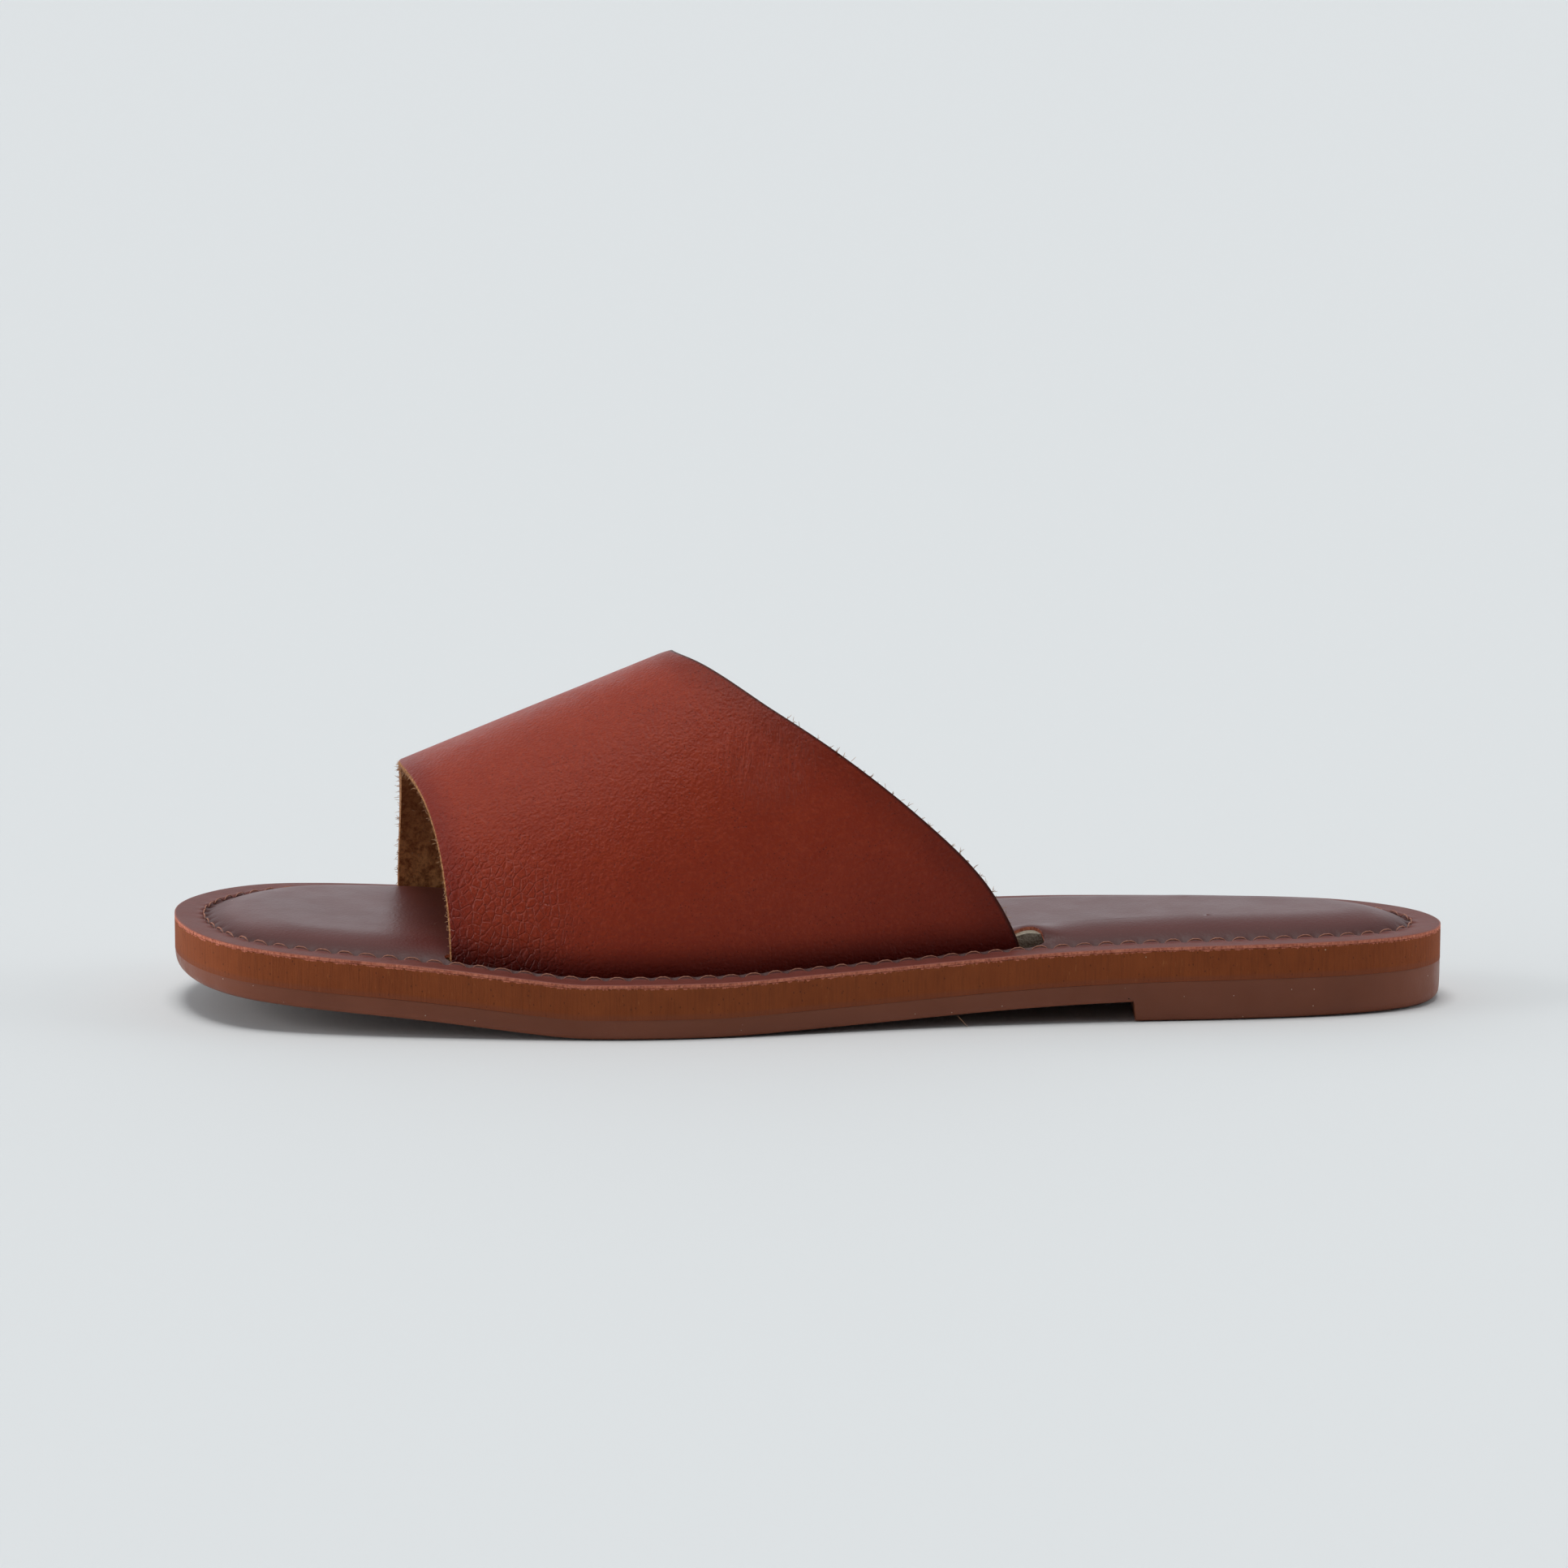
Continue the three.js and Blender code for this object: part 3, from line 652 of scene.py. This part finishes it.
cover_edge, tree, shader = new_finish("cover_cut_edge", Roughness=0.85)
shader.inputs["Specular IOR Level"].default_value = 0.2
edge_fibres = clouds(tree, 0.5 * mm, 4, 0.7, (1, 1, 0.5))
edge_colour = mixed(tree, ramp(tree, edge_fibres, 0.3, 0.7), paint(170, 88, 66), paint(226, 142, 114))
edge_stains = ramp(tree, clouds(tree, 1.3 * mm, 3), 0.58, 0.68, 0, 0.5)
edge_colour = mixed(tree, edge_stains, edge_colour, paint(120, 58, 42))
tree.links.new(edge_colour, shader.inputs["Base Color"])
relief(tree, shader, (edge_fibres, 0.25 * mm), (clouds(tree, 0.25 * mm, 2), 0.08 * mm))
cover.data.materials.clear()
cover.data.materials.append(cover_leather)
cover.data.materials.append(cover_edge)
for face in cover.data.polygons:
    upright = abs(face.normal.z) < 0.45 and face.area > 0
    inner_wall = slot_inset - 2 * mm < cover_inset[face.vertices[0]] < slot_inset + 4 * mm
    outer_wall = cover_inset[face.vertices[0]] < 0.1 * mm
    face.material_index = 1 if upright and (inner_wall or outer_wall) else 0
finish_piece(cover, "insole", "insole")


# Rim stitching: waxed thread in a dusty rose brown, one stitch every 4.5 mm all round the rim.
# A stitch is a short round arch of thread that goes down into a hole at both ends.
stitch_length = 3.7 * mm
thread_radius = 0.15 * mm
thread_sag = 0.8 * mm
thread_rise = 0.34 * mm
bpy.ops.object.select_all(action="DESELECT")
bpy.ops.mesh.primitive_uv_sphere_add(segments=8, ring_count=12, radius=1, rotation=(0, math.pi / 2, 0))
bpy.ops.object.transform_apply(location=False, rotation=True, scale=False)
first_stitch = bpy.context.object
places = coordinates(first_stitch)
bend = places[:, 0] ** 2
girth = np.sqrt(np.clip(1 - bend**2, 0, 1)) / np.sqrt(np.clip(1 - bend, 0.02, 1))
twist = 1 + 0.16 * np.cos(2 * np.arctan2(places[:, 2], places[:, 1]) + 11 * places[:, 0])
move_points(first_stitch, np.column_stack([
    places[:, 0] * stitch_length / 2,
    places[:, 1] * thread_radius * girth * twist,
    places[:, 2] * thread_radius * girth * twist - bend**1.4 * thread_sag]))
chance = random.Random(7)


def place_stitch(number):
    """A copy of the first stitch at its place on the rim, a little askew as a machine leaves it."""
    stitch = bpy.data.objects.new("stitch", first_stitch.data.copy())
    bpy.context.collection.objects.link(stitch)
    middle = np.interp(number + 0.5, stitch_numbers, np.arange(ring_steps))
    before, after = int(middle), (int(middle) + 1) % ring_steps
    spot = stitch_ring[before] + (stitch_ring[after] - stitch_ring[before]) * (middle - before)
    spot = spot - inwards[before] * chance.uniform(0.1, 0.3) * mm
    way = math.atan2(along[before, 1], along[before, 0]) + chance.uniform(-0.05, 0.05)
    turned = coordinates(stitch) * (chance.uniform(0.9, 1.03), 1, chance.uniform(0.85, 1.2))
    x = spot[0] + turned[:, 0] * math.cos(way) - turned[:, 1] * math.sin(way)
    y = spot[1] + turned[:, 0] * math.sin(way) + turned[:, 1] * math.cos(way)
    seat = level_at(x) + cover_underside + cover_thickness + thread_rise
    move_points(stitch, np.column_stack([x, y, seat + turned[:, 2]]))
    return stitch


def join_pieces(pieces, name):
    """Joins copies to one piece."""
    bpy.ops.object.select_all(action="DESELECT")
    for piece in pieces:
        piece.select_set(True)
    bpy.context.view_layer.objects.active = pieces[0]
    bpy.ops.object.join()
    bpy.context.object.name = name
    bpy.ops.object.shade_smooth()
    return bpy.context.object


stitching = join_pieces([place_stitch(number) for number in range(stitch_count)], "rim_stitching")
bpy.data.objects.remove(first_stitch)
thread, tree, shader = new_finish("waxed_thread", Roughness=0.6)
plies = clouds(tree, 0.35 * mm, 3, 0.6)
thread_colour = mixed(tree, plies, paint(130, 76, 60), paint(196, 136, 110))
tree.links.new(thread_colour, shader.inputs["Base Color"])
relief(tree, shader, (plies, 0.06 * mm))
stitching.data.materials.append(thread)
finish_piece(stitching, "insole")


# Strap: one wide band of 2 mm russet leather over the instep, smooth grain outside, suede inside.
# Its cut edges are raw, and its ends go down into the slots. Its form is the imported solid's, with
# the soft creases that wear has left on the outer side.
strap = copy_of_node("upper", "strap_leather")
strap_centre = np.array([0, 1.5 * mm, 16 * mm])
grain_side, suede_side, cut_side = range(3)
for face in strap.data.polygons:
    outward = Vector((0, face.center.y - strap_centre[1], face.center.z - strap_centre[2])).normalized()
    facing_out = face.normal.dot(outward)
    face.material_index = grain_side if facing_out > 0.5 else suede_side if facing_out < -0.5 else cut_side
crease_sharp_edges(strap, math.radians(50), 0.9)
apply_modifier(strap, "SUBSURF", levels=2, render_levels=2)

crease_lines = [
    ((-12.5, 58), (-15.5, 46), 0.16, 1.3),
    ((-8.3, 56), (-10.0, 45), 0.12, 1.2),
    ((-4.2, 55), (-5.8, 47), 0.14, 1.2),
    ((1.5, 52), (-1.0, 42), 0.10, 1.5),
    ((-68, 24), (-54, 13), 0.14, 2.2),
    ((-64, 32), (-46, 19), 0.10, 2.6),
    ((-30, 16), (2, 13), 0.14, 3.0),
    ((8, 30), (26, 14), 0.16, 3.5),
]


def crease_pull(places):
    """How far the creases pull the outer side of the strap in, by its places seen from the side."""
    pull = np.zeros(len(places))
    side_view = places[:, [0, 2]]
    for start, end, depth, width in crease_lines:
        start, end = np.array(start) * mm, np.array(end) * mm
        share = np.clip((side_view - start) @ (end - start) / ((end - start) @ (end - start)), 0, 1)
        off = np.linalg.norm(side_view - (start + share[:, None] * (end - start)), axis=1)
        ridge = 0.35 * hump(off, 1.9 * width * mm, 0.7 * width * mm)
        pull += depth * mm * np.sin(np.clip(share, 0.06, 0.94) * math.pi) * (hump(off, 0, width * mm) - ridge)
    return pull * (places[:, 1] < 0)


def corners_of(faces):
    """All corners of some faces, each once."""
    return sorted({corner for face in faces for corner in face.vertices})


cut_faces = [face for face in strap.data.polygons if face.material_index == cut_side and face.normal.z > -0.8]
front_faces = [face for face in cut_faces if face.normal.x < 0]
rear_faces = [face for face in cut_faces if face.normal.x > 0]
grain_faces = [face for face in strap.data.polygons if face.material_index == grain_side]
strap_places = coordinates(strap)
from_front = distances(strap_places, strap_places[corners_of(front_faces)])
from_rear = distances(strap_places, strap_places[corners_of(rear_faces)])

roll_depth = 0.28 * mm
roll_width = 3.5 * mm
near_crown = smooth_step(strap_places[:, 2], 50 * mm, 60 * mm)
rolled_in = roll_depth * np.clip(1 - from_rear / roll_width, 0, 1) ** 2 * near_crown
outward = (strap_places - strap_centre) * (0, 1, 1)
outward /= np.linalg.norm(outward, axis=1)[:, None]
strap_places -= outward * (crease_pull(strap_places) + rolled_in)[:, None]
knife_slant = 0.26 * mm
slanted = sorted(set(corners_of(front_faces)) & set(corners_of(grain_faces)))
strap_places[slanted, 0] += knife_slant
move_points(strap, strap_places)
bpy.ops.object.shade_smooth_by_angle(angle=math.radians(40))

store(strap, "from_front", from_front)
store(strap, "from_rear", from_rear)
rim_top = level_at(strap_places[:, 0]) + cover_underside + cover_thickness
store(strap, "over_rim", strap_places[:, 2] - rim_top)

grain, tree, shader = new_finish("strap_grain")
shader.inputs["Specular IOR Level"].default_value = 0.19
from_front, from_rear, over_rim = (read(tree, name) for name in ("from_front", "from_rear", "over_rim"))
mottle = clouds(tree, 9 * mm, 4, 0.6)
strap_colour_with_shade = mixed(tree, mottle, paint(138, 42, 22), paint(154, 54, 29))
fine_mottle = ramp(tree, clouds(tree, 0.9 * mm, 4, 0.7), 0.45, 0.68)
strap_colour_with_shade = mixed(tree, combine(tree, "MULTIPLY", fine_mottle, 0.25), strap_colour_with_shade, paint(184, 74, 40))
pores = ramp(tree, cells(tree, 0.8 * mm), 0.26, 0.08, 0, 0.7)
pore_field = ramp(tree, clouds(tree, 6 * mm, 3), 0.42, 0.6, 0.25, 1)
strap_colour_with_shade = mixed(tree, combine(tree, "MULTIPLY", pores, pore_field), strap_colour_with_shade, paint(84, 20, 10))
burnish_rear = ramp(tree, from_rear, 0.4 * mm, 9 * mm, 0.4, 0)
burnish_front = ramp(tree, from_front, 0.4 * mm, 7 * mm, 0.5, 0)
# Darker towards the rim: partly burnished leather and partly painted shade where the strap meets the footbed.
burnish_and_shade_low = ramp(tree, over_rim, 0.6 * mm, 7.5 * mm, 0.85, 0)
# Painted shade: the lower part of the strap darkens towards the heel end.
heelwards = add_node(tree, "SeparateXYZ", {"Vector": on_piece(tree)}).outputs["X"]
heelwards = ramp(tree, heelwards, -10 * mm, 40 * mm)
painted_shade_heelwards = combine(tree, "MULTIPLY", heelwards, ramp(tree, over_rim, 6 * mm, 40 * mm, 0.35, 0))
strap_colour_with_shade = mixed(tree, painted_shade_heelwards, strap_colour_with_shade, paint(100, 24, 12))
strap_colour_with_shade = mixed(tree, burnish_rear, strap_colour_with_shade, paint(88, 22, 10))
strap_colour_with_shade = mixed(tree, burnish_front, strap_colour_with_shade, paint(108, 24, 20))
strap_colour_with_shade = mixed(tree, burnish_and_shade_low, strap_colour_with_shade, paint(80, 6, 0))
strap_colour_with_shade = mixed(tree, ramp(tree, from_rear, 0.1 * mm, 1 * mm, 0.8, 0), strap_colour_with_shade, paint(40, 12, 8))
strap_colour_with_shade = mixed(tree, specks(tree, 0.12 * mm, 9 * mm, 0.25), strap_colour_with_shade, paint(208, 160, 140))
tree.links.new(strap_colour_with_shade, shader.inputs["Base Color"])
sheen_marks = ramp(tree, clouds(tree, 4 * mm, 4, 0.6), 0.3, 0.7, 0.34, 0.42)
tree.links.new(sheen_marks, shader.inputs["Roughness"])


def patch(tree, x, z, reach_x, reach_z):
    """A soft round patch on the strap, seen from the side."""
    off = add_node(tree, "VectorMath", {0: on_piece(tree), 1: (x, 0, z)}, operation="SUBTRACT").outputs["Vector"]
    squeezed = add_node(tree, "VectorMath", {0: off, 1: (1 / reach_x, 0, 1 / reach_z)}, operation="MULTIPLY")
    far = add_node(tree, "VectorMath", {0: squeezed.outputs["Vector"]}, operation="LENGTH").outputs["Value"]
    return ramp(tree, far, 0.4, 1, 1, 0)


wrinkled = patch(tree, -62 * mm, 21 * mm, 22 * mm, 20 * mm)
wrinkles = cells(tree, 1.5 * mm, "DISTANCE_TO_EDGE", (1, 1, 0.7))
wrinkles = combine(tree, "MULTIPLY", ramp(tree, wrinkles, 0, 0.12), wrinkled)
folded = patch(tree, -8 * mm, 52 * mm, 14 * mm, 12 * mm)
folds = combine(tree, "MULTIPLY", clouds(tree, 0.9 * mm, 3, 0.6, (1, 0.3, 0.12)), folded)
relief(
    tree, shader, (cells(tree, 0.6 * mm), 0.1 * mm), (clouds(tree, 0.9 * mm, 4, 0.65), 0.32 * mm),
    (wrinkles, 0.15 * mm), (folds, 0.9 * mm), (clouds(tree, 5 * mm, 3), 0.2 * mm),
    (combine(tree, "MULTIPLY", pores, -1), 0.06 * mm))

suede, tree, shader = new_finish("strap_suede", Roughness=0.95)
shader.inputs["Specular IOR Level"].default_value = 0.1
shader.inputs["Sheen Weight"].default_value = 0.25
shader.inputs["Sheen Roughness"].default_value = 0.6
shader.inputs["Sheen Tint"].default_value = paint(190, 130, 70)
clumps = clouds(tree, 1.4 * mm, 5, 0.72)
nap_colour_with_shade = mixed(tree, ramp(tree, clumps, 0.32, 0.68), paint(146, 84, 48), paint(236, 170, 112))
# Painted shade: the suede darkens higher up inside the strap, away from the open front.
painted_shade_higher = ramp(tree, read(tree, "over_rim"), 3 * mm, 22 * mm, 0, 0.6)
nap_colour_with_shade = mixed(tree, painted_shade_higher, nap_colour_with_shade, paint(116, 62, 36))
tree.links.new(nap_colour_with_shade, shader.inputs["Base Color"])
relief(tree, shader, (clumps, 0.35 * mm), (clouds(tree, 0.3 * mm, 3, 0.7), 0.15 * mm))

cut_edge, tree, shader = new_finish("strap_cut_edge", Roughness=0.9)
shader.inputs["Specular IOR Level"].default_value = 0.2
raw_fibres = clouds(tree, 0.45 * mm, 4, 0.7)
raw_colour = mixed(tree, ramp(tree, raw_fibres, 0.35, 0.65), paint(116, 68, 38), paint(206, 148, 98))
burnished = ramp(tree, read(tree, "from_rear"), 0.1 * mm, 1.5 * mm, 0.8, 0)
raw_colour = mixed(tree, burnished, raw_colour, paint(58, 24, 14))
tree.links.new(raw_colour, shader.inputs["Base Color"])
relief(tree, shader, (raw_fibres, 0.3 * mm))
for leather in (grain, suede, cut_edge):
    strap.data.materials.append(leather)
finish_piece(strap, "upper", "upper")


# Loose fibres: hairs of raw leather on the strap's cut edges and suede, a tuft at the foot of each
# front edge, and a longer one caught under the outsole's edge. Each is one bent spindle.
bpy.ops.object.select_all(action="DESELECT")
bpy.ops.mesh.primitive_uv_sphere_add(segments=4, ring_count=7, radius=1)
first_fibre = bpy.context.object
fibre_shape = coordinates(first_fibre)


def place_fibre(root, way, curl, length, radius=0.06 * mm):
    """A copy of the first fibre that starts at its root, runs its way and curls aside."""
    fibre = bpy.data.objects.new("fibre", first_fibre.data.copy())
    bpy.context.collection.objects.link(fibre)
    way = np.array(Vector(way).normalized())
    aside = np.array(Vector(way).orthogonal().normalized())
    across = np.cross(way, aside)
    share = (1 + fibre_shape[:, 2:3]) / 2
    spine = np.array(root) + way * length * share + np.array(curl) * length * share**2
    spread = radius * (aside * fibre_shape[:, :1] + across * fibre_shape[:, 1:2])
    move_points(fibre, spine + spread)
    return fibre


def random_way(reach):
    """A random small step."""
    return np.array([chance.uniform(-reach, reach) for _ in range(3)])


def fibres_on(faces, count, shortest, longest):
    """Hairs on some of a piece's faces, standing off them at random."""
    hairs = []
    for _ in range(count):
        face = chance.choice(faces)
        way = np.array(face.normal) + random_way(0.9)
        length = chance.uniform(shortest, longest) * mm
        hairs.append(place_fibre(np.array(face.center), way, random_way(0.5), length))
    return hairs


suede_faces = [face for face in strap.data.polygons
               if face.material_index == suede_side and face.center.x < -52 * mm]
tuft_faces = [face for face in front_faces if face.center.z < 14.5 * mm]
below_crown = [face for face in rear_faces if face.center.z < 60 * mm]
fibres = fibres_on(front_faces, 240, 0.3, 1.0) + fibres_on(below_crown, 280, 0.4, 1.2)
fibres += fibres_on(suede_faces, 420, 0.3, 0.9) + fibres_on(tuft_faces, 30, 0.6, 1.5)
outer_x = strap_ends["outer"][1] - 13 * mm
under_edge = side_line("outer", 0.6 * mm, outer_x)
fibres.append(place_fibre((outer_x, under_edge, level_at(outer_x) - 3.9 * mm), (0.8, -0.5, -0.7), (0.2, 0, -0.3),
                          2.6 * mm, 0.05 * mm))
fibres_piece = join_pieces(fibres, "leather_fibres")
bpy.data.objects.remove(first_fibre)
fibre_finish, tree, shader = new_finish("fibre_tan", Roughness=0.7)
fibre_colour = mixed(tree, clouds(tree, 2 * mm, 2), paint(138, 88, 54), paint(214, 172, 132))
tree.links.new(fibre_colour, shader.inputs["Base Color"])
relief(tree, shader, (clouds(tree, 0.2 * mm, 2), 0.01 * mm))
fibres_piece.data.materials.append(fibre_finish)
finish_piece(fibres_piece, "upper")
